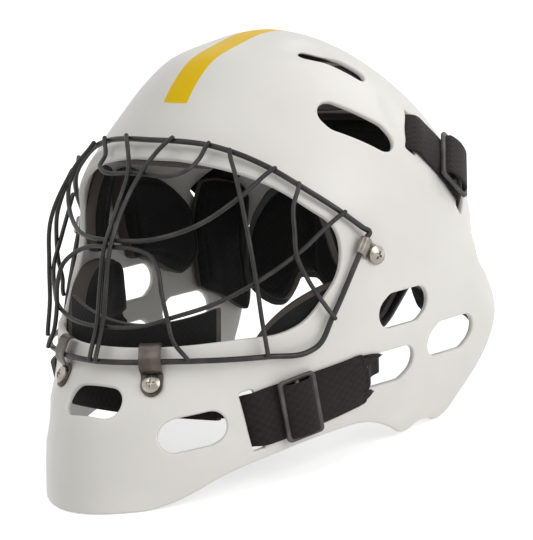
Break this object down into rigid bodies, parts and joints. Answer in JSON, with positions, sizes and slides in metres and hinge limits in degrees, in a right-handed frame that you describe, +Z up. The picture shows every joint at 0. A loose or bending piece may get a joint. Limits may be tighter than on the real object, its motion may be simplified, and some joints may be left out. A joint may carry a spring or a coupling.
{
  "type": "goalkeeper helmet",
  "caption": "White moulded helmet with a wire face cage, clips with screws, webbing straps with sliders, inner padding, a chin cup and a tilting back plate.",
  "frame": {"origin": "on the floor under the middle of the helmet's whole width and length, with the helmet resting on its chin edge and its two rear tips", "axes": "+Z up, -Y the way the wearer looks, +X the wearer's left"},
  "size_m": [0.2262, 0.3013, 0.2339],
  "materials": {
    "shell": "glossy moulded white",
    "cage_wire": "dark grey coated steel wire",
    "side_clip": "bare pressed steel",
    "chin_clip": "warm grey coated steel",
    "screws": "polished pan heads",
    "nuts": "plain zinc",
    "webbing": "woven black webbing",
    "sliders": "satin moulded dark plastic",
    "padding": "black foam with knitted cover",
    "back_plate": "satin black plastic"
  },
  "bodies": {
    "helmet": {"shell": "shell", "cage_ring": "cage_wire", "centre_bars": "cage_wire", "brow_bar": "cage_wire", "upper_bar": "cage_wire", "cheek_bar": "cage_wire", "lower_bar": "cage_wire", "side_bar_left": "cage_wire", "side_bar_right": "cage_wire", "temple_bar_left": "cage_wire", "temple_bar_right": "cage_wire", "side_clip_left": "side_clip", "side_clip_right": "side_clip", "chin_clip_left": "chin_clip", "chin_clip_right": "chin_clip", "clip_screws": "screws", "clip_nuts": "nuts", "chin_strap_left": "webbing", "chin_strap_right": "webbing", "back_strap_left": "webbing", "back_strap_right": "webbing", "crown_strap": "webbing", "brow_pad": "padding", "crown_pad_left": "padding", "crown_pad_right": "padding", "temple_pad_left": "padding", "temple_pad_right": "padding", "ear_pad_left": "padding", "ear_pad_right": "padding", "cheek_pad_left": "padding", "cheek_pad_right": "padding", "wing_pad_left": "padding", "wing_pad_right": "padding", "nape_pad": "padding", "chin_sling": "webbing", "chin_cup": "padding", "plate_lug_left": "sliders", "plate_lug_right": "sliders"},
    "chin_slider_left": {"chin_slider_left": "sliders", "chin_fold_left": "webbing"},
    "chin_slider_right": {"chin_slider_right": "sliders", "chin_fold_right": "webbing"},
    "back_slider_left": {"back_slider_left": "sliders", "back_fold_left": "webbing"},
    "back_slider_right": {"back_slider_right": "sliders", "back_fold_right": "webbing"},
    "back_plate": {"back_plate": "back_plate", "back_pad": "padding"}
  },
  "joints": [
    {"name": "chin_slider_left_slide", "type": "slide", "parent": "helmet", "child": "chin_slider_left", "axis": [0.3444, 0.9332, 0.1026], "range_m": [-0.008, 0.008]},
    {"name": "back_slider_left_slide", "type": "slide", "parent": "helmet", "child": "back_slider_left", "axis": [0.1716, 0.5962, -0.7843], "range_m": [-0.008, 0.008]},
    {"name": "chin_slider_right_slide", "type": "slide", "parent": "helmet", "child": "chin_slider_right", "axis": [-0.3444, 0.9332, 0.1026], "range_m": [-0.008, 0.008]},
    {"name": "back_slider_right_slide", "type": "slide", "parent": "helmet", "child": "back_slider_right", "axis": [-0.1716, 0.5962, -0.7843], "range_m": [-0.008, 0.008]},
    {"name": "back_tilt", "type": "hinge", "parent": "helmet", "child": "back_plate", "pos_m": [0, 0.13794, 0.12903], "axis": [1, 0, 0], "range_deg": [0, 8]}
  ]
}
